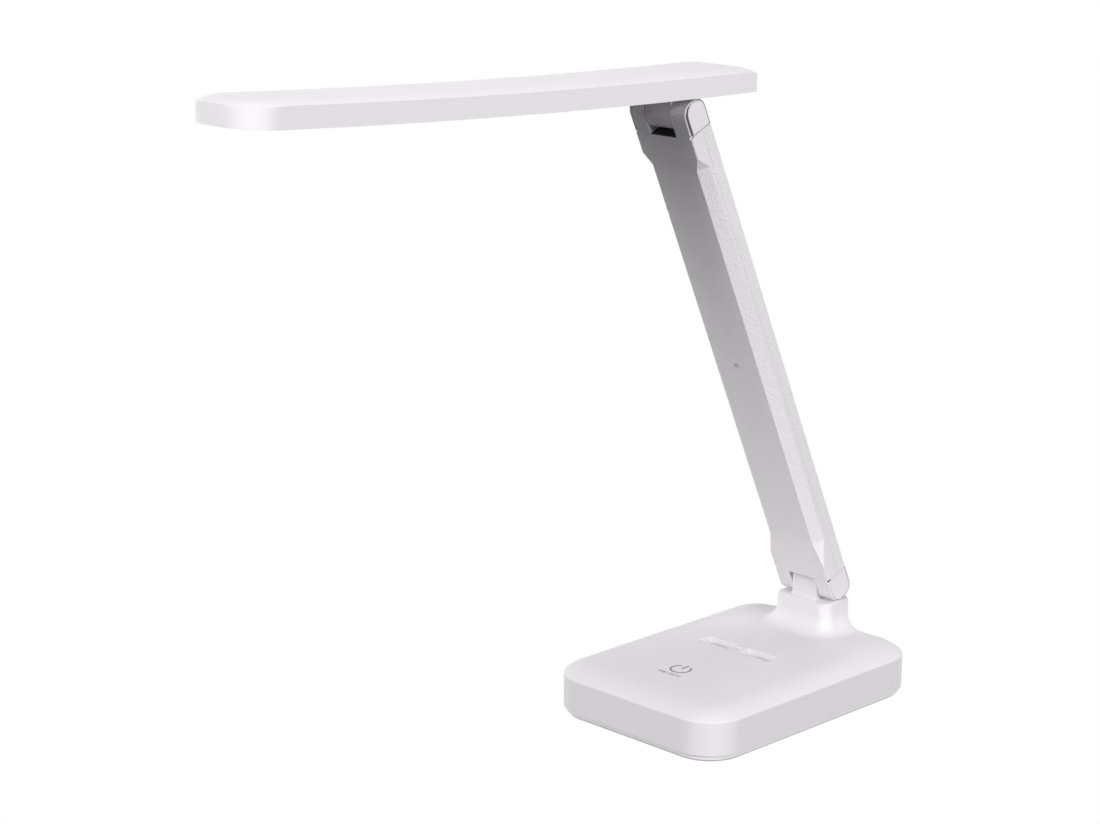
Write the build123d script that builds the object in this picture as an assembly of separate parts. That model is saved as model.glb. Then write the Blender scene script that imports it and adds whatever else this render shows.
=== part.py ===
from build123d import *
from math import atan2, cos, degrees, hypot, radians, sin, tan
import os

# Folding LED desk lamp: a weighted base with two rest slots and a touch switch, a folding arm
# and a long bowed light bar.  Millimetres, +Z up, +Y towards the back, where the neck stands.
# The origin is the centre of the rubber pad under the base.  The script writes one STEP file
# per piece, in the pose where the arm leans forward and the bar points to the front.

# ---- Base -----------------------------------------------------------------------------
base_length = 150.0
base_width = 105.0
base_corner = 20.0
rim_height = 19.6          # the crisp line round the top of the side wall
plateau_height = 25.5      # the flat middle of the top
margin_width = 16.0        # the band that rolls down from the plateau to the rim
rim_round = 0.9
base_wall = 2.2
seam_height = 3.5          # where the top cover meets the bottom plate
plate_inset = 1.4          # the bottom plate stands back under the cover
plate_lift = 0.5           # the plate's underside above the table
plate_chamfer = 0.8
plate_floor = 1.8
lip_wall = 1.5             # upstand of the plate inside the cover
lip_height = 3.0
pad_inset = 9.0
pad_thickness = 1.2

# ---- Neck and hinge tongues -------------------------------------------------------------
neck_width = 33.0
neck_ledge = 3.4           # the neck's top stands out this far before and behind the hinge
neck_corner = 5.5
neck_setback = 18.0        # from the base's back edge to the middle of the neck
neck_top = 40.6
neck_draft = 2.0           # degrees
neck_flare = 9.0           # radius of the foot of the neck
neck_top_round = 1.2
neck_bore_width = 20.0     # hollow inside the neck
neck_bore_depth = 11.0
neck_bore_top = 36.0
tongue_width = 15.2
tongue_foot_round = 2.0    # where the lower tongue stands on the neck, at the front
hinge_radius = 7.0         # half the arm's thickness, and the tongues' round ends
pivot_shift = 0.3          # the lower pivot stands this far behind the middle of the neck
ear_gap = 0.8              # between the ears and the top of the neck

# ---- Rest slots, two in line with a bridge between them ----------------------------------------
slot_length = 18.7         # of each slot
slot_bridge = 6.4
slot_width = 6.4
slot_depth = 6.0
slot_corner = 1.4
slot_back_y = 6.3          # the edge over the back wall
slot_lean = 10.0           # degrees the back wall leans away from upright
scoop_length = 4.0         # shallow dip in front of each slot
scoop_depth = 0.7
slot_wall = 1.8
lamp_eye_diameter = 3.4    # dimple over the charge light, in the bridge
lamp_eye_depth = 1.0

# ---- Arm ----------------------------------------------------------------------------------
arm_pivots = 264.0         # from hinge to hinge
arm_width = 33.6
arm_lean = 24.8            # degrees forward of upright
arm_end_flat = 1.2         # the ears' corners, seen from the side, fall this short of a full round
arm_edge_round = 0.7
arm_wall = 1.8
face_recess = 0.7          # the front face stands back this much between the hinge blocks
ridge_half = 13.2          # half width of the narrowed front face
bevel_depth = 4.9          # how far the bevel runs back along the side
lower_block = 16.5         # full-width block at each hinge, from the pivot
upper_block = 18.0
lower_run = 13.5           # the bevel fades out over this length at the lower block
upper_run = 7.0            # and over this one at the upper block
part_line = 7.7            # the seam between the shells, from the front face
seam_groove = 0.14
gate_mark_diameter = 2.6
gate_mark_depth = 0.4
slot_gap = 0.3             # between an ear and the tongue beside it
lower_clevis_gap = 0.6     # between the tongue's round end and the floor of the clevis
upper_clevis_gap = 1.2
cap_rim = 0.5              # wall left round a side cap
cap_gap = 0.25
cap_step = 1.3             # the upper caps' front edge stands this much further back
cap_thickness = 1.8
cap_seat = 0.1             # gap behind the cap
cap_reach = 7.3            # from the pivot to the cap's straight edge
cap_notch = 1.2            # height of the notch at the straight edge's front end
cap_notch_length = 2.6
cap_notch_depth = 1.1
cap_round = 0.4
arm_lip = 1.2
arm_lip_wall = 1.0
arm_fit = 0.1
peg_diameter = 2.4
peg_boss_diameter = 5.4
peg_clearance = 0.1
peg_count = 2

# ---- Hinge hardware -------------------------------------------------------------------------
pin_diameter = 5.0
pin_head_diameter = 9.0
pin_head_height = 2.2
pin_head_chamfer = 0.45
pin_drive = 3.0            # hexagonal recess in the pin's head
pin_drive_depth = 1.3
pin_clearance = 0.05
bush_wall = 1.5
nut_across_flats = 8.0
nut_height = 2.2
washer_diameter = 12.0
washer_thickness = 1.0
washer_proud = 0.2
lead_diameter = 2.0
lead_channel_diameter = 2.6

# ---- Light bar --------------------------------------------------------------------------------
bar_length = 288.0
bar_width = 42.0
bar_side = 9.0             # height of the side wall, up to its crisp rim
bar_rise = 2.1             # the flat middle of the top above the rim
bar_margin = 11.0          # the band that rolls down from the flat to the rim
bar_corner = 15.0          # at the free end
bar_rear_corner = 6.0
bar_crown_corner = 37.0    # of the rolled form, wider than the wall's own corner, so the rim dips
bar_crown_rear = 30.5
bar_bow = 2.15             # both ends stand this much above the middle
bar_overhang = 38.2        # behind the upper hinge
bar_tilt = 1.95            # degrees, free end up
bar_gap = 1.0              # between the ears and the underside of the bar
bar_wall = 1.8
bar_roof = 0.8             # the ceiling lies this far under the rim
frame_thickness = 1.8
frame_gap = 0.15
window_length = 224.0
window_width = 31.0
window_corner = 5.0
window_end = 9.0           # from the frame's free end to the window
diffuser_thickness = 1.6
diffuser_flange = 2.0
diffuser_ledge = 0.9
diffuser_gap = 0.2
board_thickness = 1.2
board_tape = 0.15          # adhesive between the LED board and the bar's ceiling
board_width = 22.0
board_end_gap = 2.0        # from the window's ends to the board's
led_count = 24
led_rows = 2
led_end = 7.0              # from the window's ends to the last LEDs
led_row_pitch = 11.0
led_size = 3.0
led_height = 0.8
bracket_length = 27.0
bracket_width = 33.0
bracket_thickness = 2.4
bracket_corner = 3.0
bracket_post_diameter = 6.0
bracket_screw_x = 12.0
bracket_screw_y = 8.0
bracket_hole_gap = 0.4
bracket_screw_length = 3.4

# ---- Pieces inside the base ---------------------------------------------------------------------
post_inset = 17.2          # corner posts, from the base's sides and ends
post_diameter = 7.0
screw_diameter = 3.0
screw_head_diameter = 5.6
screw_head_height = 1.6
screw_length = 9.0
weight_width = 82.0
weight_length = 26.0
weight_height = 8.0
weight_y = 25.0
cell_diameter = 18.4
cell_length = 65.0
cell_y = -16.0
cell_play = 0.15
cell_edge = 0.45
cell_groove_width = 1.0
cell_groove_depth = 0.5
cell_groove_end = 3.0      # from the cell's end to its crimped groove
cell_terminal_diameter = 6.0
cell_terminal_height = 1.0
cradle_thickness = 3.0
cradle_spacing = 46.0
board_y = -47.0
control_length = 28.0
control_width = 56.0
board_corner = 1.0
control_chips = (          # x, y from the board's middle, width, length, height
    (-10.5, -4.5, 7.0, 7.0, 1.4),
    (11.0, -6.0, 10.0, 6.0, 2.2),
    (-4.0, -9.2, 2.0, 1.5, 0.9),
    (0.0, -9.2, 2.0, 1.5, 0.9),
    (4.0, -9.2, 2.0, 1.5, 0.9),
)
standoff_diameter = 5.0
standoff_height = 5.0
standoff_inset = 4.0
board_screw_diameter = 2.0
board_screw_head = 3.6
board_screw_head_height = 1.2
board_screw_length = 5.0
touch_y = -38.6
touch_diameter = 14.0
touch_thickness = 0.5
touch_stem_diameter = 3.0
socket_width = 8.9
socket_height = 3.2
socket_length = 7.4
socket_wall = 0.35
socket_tongue = 0.7
socket_clearance = 0.3
socket_setback = 0.6
inlet_board_width = 24.0
inlet_board_length = 15.0
inlet_screw_x = 8.9
contact_gap = 0.02         # between pieces that seat in round holes

neck_y = base_length / 2 - neck_setback
neck_depth = 2 * (hinge_radius + neck_ledge)
lower_pivot_y = neck_y + pivot_shift
lower_pivot_z = neck_top + hinge_radius + ear_gap
bar_drop = hinge_radius + bar_gap          # upper pivot below the underside of the bar
arm_end_round = hinge_radius - arm_end_flat
lower_reach = hinge_radius + lower_clevis_gap
upper_reach = hinge_radius + upper_clevis_gap
upper_pivot_y = lower_pivot_y - arm_pivots * sin(radians(arm_lean))
upper_pivot_z = lower_pivot_z + arm_pivots * cos(radians(arm_lean))
arm_half = arm_width / 2
tongue_half = tongue_width / 2
clevis_half = tongue_half + slot_gap
bow_radius = bar_length**2 / (8 * bar_bow)
bar_mid_y = bar_overhang - bar_length / 2
bar_mid_z = bar_drop - bar_mid_y**2 / (2 * bow_radius)
plate_top = plate_lift + plate_floor
board_bottom = plate_top + standoff_height
pin_radius = pin_diameter / 2
bush_radius = pin_radius + bush_wall


# ---- Small helpers -------------------------------------------------------------------------------
def slab(width, length, corner, bottom, top, y=0.0):
    """Upright block with round corners in plan."""
    return Pos(0, y, bottom) * extrude(RectangleRounded(width, length, corner), amount=top - bottom)


def upright(diameter, bottom, top, x=0.0, y=0.0):
    """Round post or hole along Z."""
    return Pos(x, y, (bottom + top) / 2) * Cylinder(diameter / 2, top - bottom)


def crosswise(radius, left, right, y=0.0, z=0.0):
    """Round bar or hole along X."""
    return Pos((left + right) / 2, y, z) * Rot(0, 90, 0) * Cylinder(radius, right - left)


def block(left, right, front, back, bottom, top):
    """Plain block between six faces."""
    size = (right - left, back - front, top - bottom)
    return Pos((left + right) / 2, (front + back) / 2, (bottom + top) / 2) * Box(*size)


def at_lower(piece):
    """A hinge feature at the arm's lower end, which is where it is made."""
    return piece


def on_arm(piece):
    """From the arm's own frame, along Z from the lower pivot, front to -Y, to its place."""
    return Pos(0, lower_pivot_y, lower_pivot_z) * Rot(arm_lean, 0, 0) * piece


def on_bar(piece):
    """From the light bar's own frame, with the upper pivot at zero, to its place."""
    return Pos(0, upper_pivot_y, upper_pivot_z) * Rot(-bar_tilt, 0, 0) * piece


def at_upper(piece):
    """A hinge feature made at the arm's lower end, mirrored to its upper end."""
    return Pos(0, 0, arm_pivots) * mirror(piece, about=Plane.XY)


def group(pieces):
    """Separate solids that share one file."""
    return Compound(children=list(pieces))


# ---- Base --------------------------------------------------------------------------------------
def pillow(inset, bottom):
    """The base's outline under a top that rolls down to the rim on one radius."""
    rise = plateau_height - rim_height
    roll = (margin_width**2 + rise**2) / (2 * rise)
    spread = roll - margin_width - inset
    top = plateau_height - inset
    crown = slab(base_width + 2 * spread, base_length + 2 * spread, base_corner + spread,
                 plateau_height - 2 * roll, top)
    crown = fillet(crown.faces().sort_by(Axis.Z)[-1].edges(), roll - inset)
    body = slab(base_width - 2 * inset, base_length - 2 * inset, base_corner - inset, bottom, top)
    return body & crown


def cover_outside():
    """Top cover as one lump: pillow, neck and the flare between them."""
    body = pillow(0, seam_height)
    rim = body.edges().filter_by(lambda edge: abs(edge.center().Z - rim_height) < rim_round)
    body = fillet(rim, rim_round)
    foot_height = neck_top - (plateau_height - margin_width)
    mouth = Pos(0, neck_y, neck_top) * RectangleRounded(neck_width, neck_depth, neck_corner)
    neck = extrude(mouth, amount=-foot_height, taper=-neck_draft)
    neck = fillet(neck.faces().sort_by(Axis.Z)[-1].edges(), neck_top_round)
    cover = body + neck

    def at_foot(edge):
        middle = edge.center()
        near = abs(middle.X) < neck_width / 2 + neck_corner
        near = near and abs(middle.Y - neck_y) < neck_depth / 2 + neck_corner
        return near and rim_height < middle.Z < plateau_height + neck_top_round

    return fillet(cover.edges().filter_by(at_foot), neck_flare)


def hinge_tongue(length):
    """Rounded tongue about the X axis, with its stem down to -length."""
    side = Plane.YZ * (Circle(hinge_radius) + Pos(0, -length / 2) * Rectangle(2 * hinge_radius, length))
    return extrude(side, amount=tongue_half, both=True)


def corner_places():
    x = base_width / 2 - post_inset
    y = base_length / 2 - post_inset
    return [(side * x, end * y) for side in (-1, 1) for end in (-1, 1)]


def base_top_cover():
    outside = cover_outside()
    hollow = pillow(base_wall, 0)
    hollow += block(-neck_bore_width / 2, neck_bore_width / 2, neck_y - neck_bore_depth / 2,
                    neck_y + neck_bore_depth / 2, rim_height / 2, neck_bore_top)
    hollow -= slab(2 * slot_length + slot_bridge + 2 * slot_wall, slot_width + 2 * slot_wall,
                   slot_corner + slot_wall, slot_floor() - slot_wall, plateau_height,
                   slot_back_y - slot_width / 2)
    for x, y in corner_places():
        hollow -= upright(post_diameter, seam_height, plateau_height, x, y)
        hollow += upright(screw_diameter, 0, seam_height + screw_length, x, y)
    cover = outside - hollow
    stem = lower_pivot_z - neck_top + neck_top_round
    cover += Pos(0, lower_pivot_y, lower_pivot_z) * hinge_tongue(stem)
    foot = ShapeList(edge for edge in cover.edges().filter_by(Axis.X) if at_tongue_foot(edge.center()))
    cover = fillet(foot, tongue_foot_round)
    cover -= crosswise(bush_radius + contact_gap, -arm_half, arm_half, lower_pivot_y, lower_pivot_z)
    cover -= rest_slot() + other_side(rest_slot())
    cover -= upright(lamp_eye_diameter, plateau_height - lamp_eye_depth, neck_top, 0,
                     slot_back_y - slot_width / 2)
    cover -= socket_cut()
    return cover


def at_tongue_foot(place):
    """Whether a point is on the line where the tongue's front face meets the top of the neck."""
    front = lower_pivot_y - hinge_radius
    return abs(place.Y - front) < tongue_foot_round / 4 and abs(place.Z - neck_top) < tongue_foot_round / 4


def slot_floor():
    return plateau_height - slot_depth


def rest_slot():
    """What the right slot takes off: its back wall leans, and a shallow dip runs into its front."""
    lip = slot_back_y - slot_width
    top = plateau_height + 1
    slot = slab(slot_length, slot_width, slot_corner, slot_floor(), top, slot_back_y - slot_width / 2)
    foot = slot_back_y - slot_depth * tan(radians(slot_lean))
    wedge = make_face(Polyline((slot_back_y, plateau_height), (slot_back_y, slot_floor()),
                               (foot, slot_floor()), close=True))
    slot -= extrude(Plane.YZ * wedge, amount=slot_length, both=True)
    roll = (scoop_length**2 + scoop_depth**2) / (2 * scoop_depth)
    dip = block(-slot_length / 2, slot_length / 2, lip - scoop_length, lip + slot_corner,
                plateau_height - 2 * scoop_depth, top)
    dip -= crosswise(roll, -slot_length, slot_length, lip - scoop_length, plateau_height - roll)
    return Pos((slot_length + slot_bridge) / 2, 0, 0) * (slot + dip)


def socket_centre_z():
    return board_bottom + board_thickness + socket_height / 2


def socket_cut():
    """Round-ended opening for the charging socket through the back wall."""
    mouth = Plane.XZ * RectangleRounded(socket_width + 2 * socket_clearance,
                                        socket_height + 2 * socket_clearance,
                                        socket_height / 2)
    cut = extrude(mouth, amount=2 * base_wall, both=True)
    return Pos(0, base_length / 2, socket_centre_z()) * cut


def charging_socket():
    """Metal shell of the inlet with its tongue, open to the back."""
    back = base_length / 2 - socket_setback
    front = back - socket_length
    face = RectangleRounded(socket_width, socket_height, socket_height / 2 - socket_wall)
    bore = RectangleRounded(socket_width - 2 * socket_wall, socket_height - 2 * socket_wall,
                            socket_height / 2 - 2 * socket_wall)
    shell = Pos(0, back, socket_centre_z()) * extrude(Plane.XZ * face, amount=socket_length)
    hollow = Pos(0, back, socket_centre_z()) * extrude(Plane.XZ * bore, amount=socket_length - socket_wall)
    blade_half = socket_width / 2 - 4 * socket_wall
    blade = block(-blade_half, blade_half, front, back - 2 * socket_wall,
                  socket_centre_z() - socket_tongue / 2, socket_centre_z() + socket_tongue / 2)
    return shell - hollow + blade


def base_bottom_plate():
    width = base_width - 2 * plate_inset
    length = base_length - 2 * plate_inset
    corner = base_corner - plate_inset
    plate = slab(width, length, corner, plate_lift, seam_height)
    plate = chamfer(plate.faces().sort_by(Axis.Z)[0].edges(), plate_chamfer)
    inset = base_wall + arm_fit
    lip = slab(base_width - 2 * inset, base_length - 2 * inset, base_corner - inset,
               plate_top, seam_height + lip_height)
    plate += lip
    inner = inset + lip_wall
    plate -= slab(base_width - 2 * inner, base_length - 2 * inner, base_corner - inner,
                  plate_top, seam_height + 2 * lip_height)
    plate -= slab(base_width - 2 * pad_inset, base_length - 2 * pad_inset, base_corner - pad_inset,
                  0, pad_thickness)
    for x, y in corner_places():
        plate += upright(post_diameter, plate_top, seam_height, x, y)
        plate -= upright(screw_diameter + 2 * peg_clearance, 0, seam_height, x, y)
        plate -= upright(screw_head_diameter + 2 * peg_clearance, 0,
                         pad_thickness + screw_head_height, x, y)
    plate += weight_fence()
    plate += cell_cradles()
    for x, y in control_screw_places() + inlet_screw_places():
        plate += upright(standoff_diameter, plate_top, board_bottom, x, y)
        plate -= upright(board_screw_diameter, plate_top, board_bottom, x, y)
    return plate


def weight_fence():
    """Low rib round the steel weight."""
    outer = slab(weight_width + 2 * lip_wall + 2 * arm_fit, weight_length + 2 * lip_wall + 2 * arm_fit,
                 lip_wall, plate_top, plate_top + lip_height, weight_y)
    inner = slab(weight_width + 2 * arm_fit, weight_length + 2 * arm_fit, lip_wall / 2,
                 plate_top, plate_top + lip_height, weight_y)
    return outer - inner


def cell_axis_z():
    return plate_top + cell_diameter / 2 + cell_play


def cell_cradles():
    """Two saddles that hold the battery cell off the floor."""
    saddles = Part()
    half = cell_diameter / 2 + lip_wall
    for x in (-cradle_spacing / 2, cradle_spacing / 2):
        saddles += block(x - cradle_thickness / 2, x + cradle_thickness / 2, cell_y - half,
                         cell_y + half, plate_top, cell_axis_z() - cell_diameter / 6)
    return saddles - crosswise(cell_diameter / 2 + cell_play, -base_width / 2, base_width / 2,
                               cell_y, cell_axis_z())


def anti_slip_pad():
    inset = pad_inset + arm_fit
    return slab(base_width - 2 * inset, base_length - 2 * inset, base_corner - inset, 0, pad_thickness)


def screw(head_diameter, head_height, shank_diameter, length):
    """Screw along Z, its head below zero and its shank above."""
    return upright(head_diameter, -head_height, 0) + upright(shank_diameter, 0, length)


def base_screws():
    seat = pad_thickness + screw_head_height
    shape = screw(screw_head_diameter, screw_head_height, screw_diameter - 2 * contact_gap, screw_length)
    return group(Pos(x, y, seat) * shape for x, y in corner_places())


def counterweight():
    body = slab(weight_width, weight_length, lip_wall, plate_top, plate_top + weight_height, weight_y)
    return chamfer(body.faces().sort_by(Axis.Z)[-1].edges(), lip_wall / 2)


def battery_cell():
    """Round cell lying along X, with its crimped groove and raised terminal."""
    half = cell_length / 2
    can = crosswise(cell_diameter / 2, -half, half, cell_y, cell_axis_z())
    can = chamfer(can.edges(), cell_edge)
    groove_end = half - cell_groove_end
    groove_start = groove_end - cell_groove_width
    core = cell_diameter / 2 - cell_groove_depth
    groove = crosswise(cell_diameter / 2, groove_start, groove_end, cell_y, cell_axis_z())
    groove -= crosswise(core, groove_start, groove_end, cell_y, cell_axis_z())
    tip = half + cell_terminal_height
    return can - groove + crosswise(cell_terminal_diameter / 2, half, tip, cell_y, cell_axis_z())


def control_screw_places():
    dx = control_width / 2 - standoff_inset
    dy = control_length / 2 - standoff_inset
    return [(x, board_y + y) for x in (-dx, dx) for y in (-dy, dy)]


def inlet_board_y():
    return base_length / 2 - base_wall - socket_clearance - inlet_board_length / 2


def inlet_screw_places():
    y = inlet_board_y() - standoff_inset / 2
    return [(x, y) for x in (-inlet_screw_x, inlet_screw_x)]


def circuit_board(width, length, y, places):
    """Board with its screw holes, on the standoffs."""
    board = slab(width, length, board_corner, board_bottom, board_bottom + board_thickness, y)
    for x, hole_y in places:
        board -= upright(board_screw_diameter + 2 * peg_clearance, board_bottom,
                         board_bottom + board_thickness, x, hole_y)
    return board


def control_board():
    board = circuit_board(control_width, control_length, board_y, control_screw_places())
    top = board_bottom + board_thickness
    for x, y, width, length, height in control_chips:
        board += Pos(x, board_y + y, top + height / 2) * Box(width, length, height)
    return board


def inlet_board():
    return circuit_board(inlet_board_width, inlet_board_length, inlet_board_y(), inlet_screw_places())


def board_screws():
    seat = board_bottom + board_thickness
    shape = Rot(180, 0, 0) * screw(board_screw_head, board_screw_head_height,
                                   board_screw_diameter - 2 * contact_gap, board_screw_length)
    return group(Pos(x, y, seat) * shape for x, y in control_screw_places() + inlet_screw_places())


def touch_electrode():
    """Metal disc under the touch mark and its stem from the control board."""
    top = plateau_height - base_wall
    low = top - touch_thickness
    disc = upright(touch_diameter, low, top, 0, touch_y)
    return disc + upright(touch_stem_diameter, board_bottom + board_thickness, low, 0, touch_y)


# ---- Arm --------------------------------------------------------------------------------------
def bevel_cutter():
    """What the right front bevel takes off: a long wedge that fades out at both ends."""
    run = arm_half - ridge_half
    deep = bevel_depth + face_recess
    slope = degrees(atan2(bevel_depth, run))
    length = hypot(run, bevel_depth)
    knife = Pos(ridge_half, face_recess - hinge_radius, 0) * Rot(0, 0, slope)
    knife *= block(-length, 2 * length, -2 * length, 0, -arm_pivots, 2 * arm_pivots)
    ends = ((lower_block, -lower_run, Keep.TOP), (arm_pivots - upper_block, upper_run, Keep.BOTTOM))
    for end, fade, side in ends:
        normal = (-fade * bevel_depth / deep / run, fade / deep, 1)
        knife = split(knife, bisect_by=Plane(origin=(arm_half, -hinge_radius, end), z_dir=normal), keep=side)
    return knife


def face_cutter():
    """What sets the front face back between the hinge blocks, with a slope at both ends."""
    front = -hinge_radius
    floor = front + face_recess
    bottom, top = lower_block, arm_pivots - upper_block
    outline = Polyline((front - 1, bottom), (front, bottom), (floor, bottom + lower_run),
                       (floor, top - upper_run), (front, top), (front - 1, top), close=True)
    return extrude(Plane.YZ * make_face(outline), amount=arm_width, both=True)


def arm_lump():
    """The arm's outside as one solid, before it is hollowed and parted."""
    side = RectangleRounded(2 * hinge_radius, arm_pivots + 2 * hinge_radius, arm_end_round)
    body = extrude(Plane.YZ * Pos(0, arm_pivots / 2) * side, amount=arm_half, both=True)
    body = fillet(body.faces().filter_by(Axis.X).edges(), arm_edge_round)
    knife = bevel_cutter()
    return body - knife - other_side(knife) - face_cutter()


def inside_front():
    """Inner surface of the front shell."""
    return face_recess - hinge_radius + arm_wall


def arm_hollow():
    """Space between the shells, clear of the two hinge blocks."""
    bottom = lower_block + lower_run
    top = arm_pivots - upper_block - upper_run
    room = block(-arm_half + arm_wall, arm_half - arm_wall, inside_front(), hinge_radius - arm_wall,
                 bottom, top)
    slope = atan2(bevel_depth, arm_half - ridge_half)
    knife = Pos(-arm_wall * sin(slope), arm_wall * cos(slope), 0) * bevel_cutter()
    return room - knife - other_side(knife)


def cap_outline(inset, end):
    """The ear's outline about its pivot, inset, up to a straight edge."""
    half = hinge_radius - inset
    outline = Pos(0, half) * RectangleRounded(2 * half, 4 * half, arm_end_round - inset)
    return outline & Pos(0, end - 2 * half) * Rectangle(2 * half, 4 * half)


def cap_recess():
    """Pocket for a cap in the right ear, with a notch at the front of its straight edge."""
    end = cap_reach + cap_gap
    depth = cap_thickness + cap_seat
    pocket = Pos(arm_half - depth, 0, 0) * extrude(Plane.YZ * cap_outline(cap_rim, end), amount=2 * depth)
    front = -hinge_radius - 1
    tip = cap_notch_length - hinge_radius
    notch = make_face(Polyline((tip, end), (-hinge_radius, end + cap_notch), (front, end + cap_notch),
                               (front, cap_reach), (tip, cap_reach), close=True))
    return pocket + Pos(arm_half - cap_notch_depth, 0, 0) * extrude(Plane.YZ * notch, amount=depth)


def side_cap(step):
    """Cover of the right ear's pin hole, its front edge set back by the step."""
    outline = cap_outline(cap_rim + cap_gap, cap_reach)
    if step:
        outline &= Pos(step, 0) * outline
    shape = extrude(Plane.YZ * outline, amount=cap_thickness)
    shape = fillet(shape.faces().sort_by(Axis.X)[-1].edges(), cap_round)
    return Pos(arm_half - cap_thickness, 0, 0) * shape


def other_side(piece):
    """The same feature on the arm's left side."""
    return mirror(piece, about=Plane.YZ)


def hex_bar(across, left, right):
    """Hexagonal bar along X, flats across the given size."""
    outline = Plane.YZ * RegularPolygon(across / 2, 6, major_radius=False)
    return Pos(left, 0, 0) * extrude(outline, amount=right - left)


def ear_seat():
    """Outer face of the ear under a cap."""
    return arm_half - cap_thickness - cap_seat


def hinge_cuts(reach, lead_end):
    """Everything taken out of the arm at one hinge: clevis, pin, washers, caps and lead."""
    cut = block(-clevis_half, clevis_half, -arm_half, arm_half, -arm_half, reach)
    cut += crosswise(pin_radius + pin_clearance, -arm_half, arm_half)
    cut += crosswise(pin_head_diameter / 2 + peg_clearance, ear_seat() - pin_head_height, arm_half)
    cut += hex_bar(nut_across_flats + 2 * peg_clearance, -arm_half, -ear_seat() + nut_height)
    washer_reach = clevis_half - washer_proud + washer_thickness
    cut += crosswise(washer_diameter / 2 + peg_clearance, -washer_reach, washer_reach)
    cut += cap_recess() + other_side(cap_recess())
    cut += upright(lead_channel_diameter, 0, lead_end, 0, part_line - hinge_radius)
    return cut


def peg_places():
    span = arm_pivots - lower_block - upper_block
    return [lower_block + span * (i + 1) / (peg_count + 1) + peg_boss_diameter for i in range(peg_count)]


def peg_columns():
    """(x, z) of each locating peg, in pairs along the arm."""
    x = arm_half - arm_wall - peg_boss_diameter
    return [(side * x, z) for z in peg_places() for side in (-1, 1)]


def fore_and_aft(diameter, front, back, x, z):
    """Round post or hole along Y."""
    return Pos(x, (front + back) / 2, z) * Rot(90, 0, 0) * Cylinder(diameter / 2, back - front)


def arm_shells():
    """Front and rear shells, parted along the seam."""
    seam = part_line - hinge_radius
    bottom = lower_block + lower_run
    top = arm_pivots - upper_block - upper_run
    lump = arm_lump() - arm_hollow() - hinge_cuts(lower_reach, bottom)
    lump -= at_upper(hinge_cuts(upper_reach, arm_pivots - top))
    cap_end = cap_reach + cap_gap
    for side in (-1, 1):
        x = side * arm_half
        lump -= block(x - seam_groove, x + seam_groove, seam - seam_groove / 2, seam + seam_groove / 2,
                      cap_end, arm_pivots - cap_end)
    face = face_recess - hinge_radius
    mark = fore_and_aft(gate_mark_diameter, face - 1, face + gate_mark_depth, 0, arm_pivots / 2)
    mark -= fore_and_aft(gate_mark_diameter / 3, face, face + gate_mark_depth, 0, arm_pivots / 2)
    lump -= mark
    parting = Plane(origin=(0, seam, 0), z_dir=(0, 1, 0))
    front = split(lump, bisect_by=parting, keep=Keep.BOTTOM)
    rear = split(lump, bisect_by=parting, keep=Keep.TOP)
    inside_rear = hinge_radius - arm_wall
    for x, z in peg_columns():
        front += fore_and_aft(peg_boss_diameter, inside_front() - arm_wall / 2, seam, x, z)
        front -= fore_and_aft(peg_diameter + 2 * peg_clearance, inside_front() + arm_wall / 2, seam, x, z)
        rear += fore_and_aft(peg_boss_diameter, seam, inside_rear + arm_wall / 2, x, z)
        rear += fore_and_aft(peg_diameter, inside_front() + arm_wall, seam, x, z)
    wall = arm_half - arm_wall
    inner = wall - arm_fit - arm_lip_wall
    lip = block(inner, wall - arm_fit, seam - arm_lip, inside_rear, bottom + arm_fit, top - arm_fit)
    lip += block(inner, wall, seam, inside_rear, bottom + arm_fit, top - arm_fit)
    return front, rear + lip + other_side(lip)


def hinge_pin():
    """Shoulder screw through both ears, its head in the right one."""
    head_face = ear_seat() - pin_head_height
    pin = crosswise(pin_radius, -ear_seat(), head_face)
    head = crosswise(pin_head_diameter / 2, head_face, ear_seat())
    head = chamfer(head.edges().sort_by(Axis.X)[-1], pin_head_chamfer)
    drive = hex_bar(pin_drive, ear_seat() - pin_drive_depth, arm_half)
    return pin + head - drive


def hinge_nut():
    nut = hex_bar(nut_across_flats, -ear_seat(), -ear_seat() + nut_height)
    return nut - crosswise(pin_radius + contact_gap, -arm_half, arm_half)


def hinge_washers():
    rings = []
    inner_face = clevis_half - washer_proud
    for side in (-1, 1):
        ends = sorted((side * inner_face, side * (inner_face + washer_thickness)))
        ring = crosswise(washer_diameter / 2, *ends)
        rings.append(ring - crosswise(pin_radius + pin_clearance, -arm_half, arm_half))
    return rings


def hinge_bush():
    """Sleeve in a tongue, in which the pin turns."""
    sleeve = crosswise(bush_radius, -tongue_half, tongue_half)
    return sleeve - crosswise(pin_radius + pin_clearance, -tongue_half, tongue_half)


def arm_lead():
    """Cable from hinge to hinge in the channel between the shells."""
    start = lower_reach + lead_diameter
    end = arm_pivots - upper_reach - lead_diameter
    return upright(lead_diameter, start, end, 0, part_line - hinge_radius)


# ---- Light bar ----------------------------------------------------------------------------------
def bar_plan(width, length, corner, rear_corner):
    """Plan of the bar: its free end, to -Y, has the wider corners."""
    plan = fillet(Rectangle(width, length).vertices().group_by(Axis.Y)[0], corner)
    return fillet(plan.vertices().group_by(Axis.Y)[-1], rear_corner)


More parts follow.
